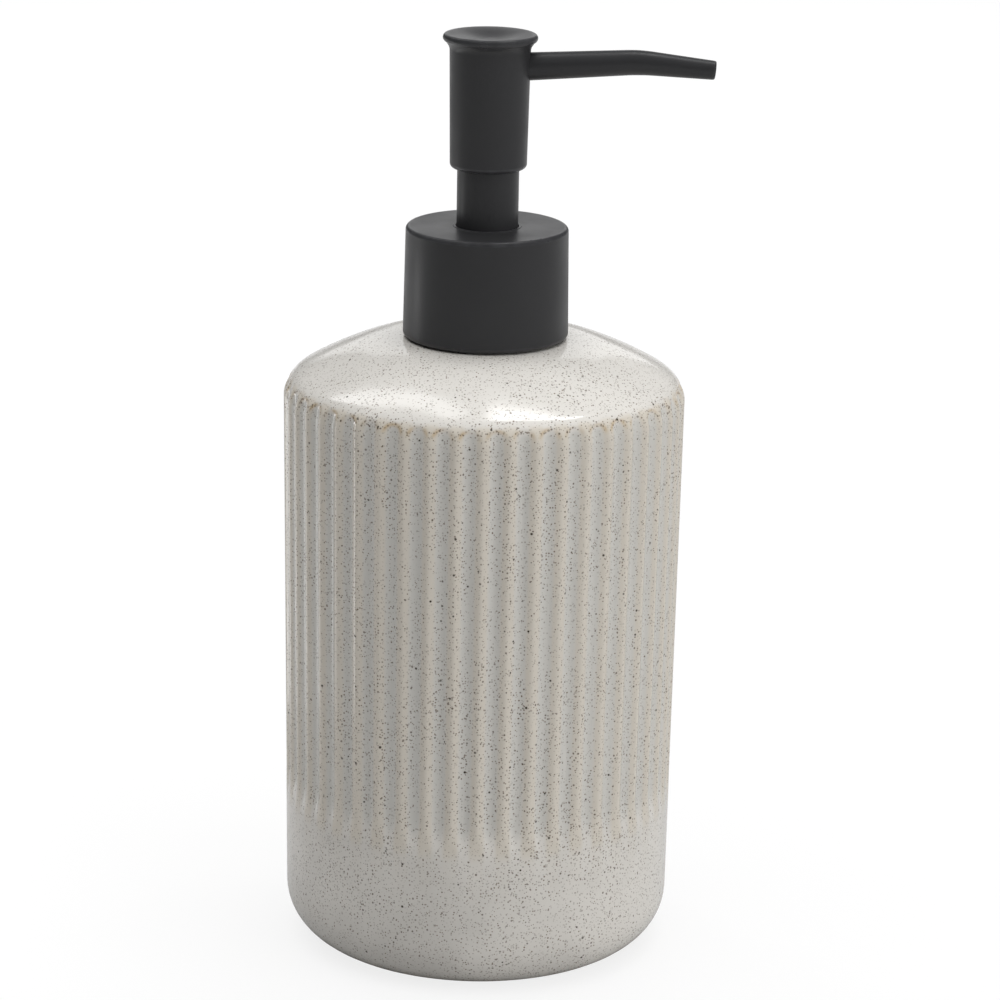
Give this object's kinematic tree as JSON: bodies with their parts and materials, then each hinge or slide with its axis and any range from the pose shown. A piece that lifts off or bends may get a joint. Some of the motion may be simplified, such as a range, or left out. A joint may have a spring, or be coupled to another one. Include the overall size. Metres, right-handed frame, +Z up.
{
  "type": "soap pump dispenser",
  "caption": "Fluted glazed ceramic bottle with a domed shoulder and a screw-on pump: plain collar, slim stem, dished round head and bent nozzle.",
  "frame": {"origin": "centre of the bottle's flat base", "axes": "+Z up along the bottle and pump axis, +X the way the nozzle points"},
  "size_m": [0.081, 0.0772, 0.1793],
  "materials": {
    "stoneware": "gloss speckled glaze",
    "black_plastic": "fine matte",
    "natural_plastic": "translucent white",
    "silicone": "soft matte",
    "stainless": "drawn wire"
  },
  "bodies": {
    "bottle": {"bottle": "stoneware"},
    "neck": {"neck_insert": "natural_plastic", "neck_seal": "silicone"},
    "engine": {"pump_housing": "natural_plastic", "housing_gasket": "silicone", "guide_sleeve": "black_plastic", "stem_guide": "natural_plastic", "spring_seat": "natural_plastic", "dip_tube": "natural_plastic", "return_spring": "stainless"},
    "closure": {"screw_cap": "natural_plastic", "collar_shell": "black_plastic"},
    "plunger": {"piston_stem": "natural_plastic", "stem_pin": "natural_plastic"},
    "seal": {"piston_seal": "silicone"},
    "ball": {"inlet_ball": "stainless"},
    "head": {"head_shell": "black_plastic", "head_core": "natural_plastic", "nozzle": "black_plastic"}
  },
  "joints": [
    {"name": "neck_pull", "type": "slide", "parent": "bottle", "child": "neck", "axis": [0, 0, 1], "range_m": [0, 0.125]},
    {"name": "pump_rise", "type": "slide", "parent": "neck", "child": "engine", "axis": [0, 0, 1], "range_m": [0, 0.0048]},
    {"name": "closure_turn", "type": "hinge", "parent": "engine", "child": "closure", "pos_m": [0, 0, 0.13], "axis": [0, 0, 1], "range_deg": [0, 540]},
    {"name": "head_press", "type": "slide", "parent": "engine", "child": "plunger", "axis": [0, 0, -1], "range_m": [0, 0.011], "stiffness_N_per_m": 450, "springref_m": -0.008, "deforming": ["return_spring"]},
    {"name": "head_swivel", "type": "hinge", "parent": "plunger", "child": "head", "pos_m": [0, 0, 0.16], "axis": [0, 0, 1], "continuous": true},
    {"name": "seal_play", "type": "slide", "parent": "plunger", "child": "seal", "axis": [0, 0, 1], "range_m": [0, 0.001]},
    {"name": "ball_lift", "type": "slide", "parent": "engine", "child": "ball", "axis": [0, 0, 1], "range_m": [0, 0.0013]}
  ],
  "couplings": [
    {"joint": "pump_rise", "follows": "closure_turn", "m_per_rad": 0.00050532}
  ]
}
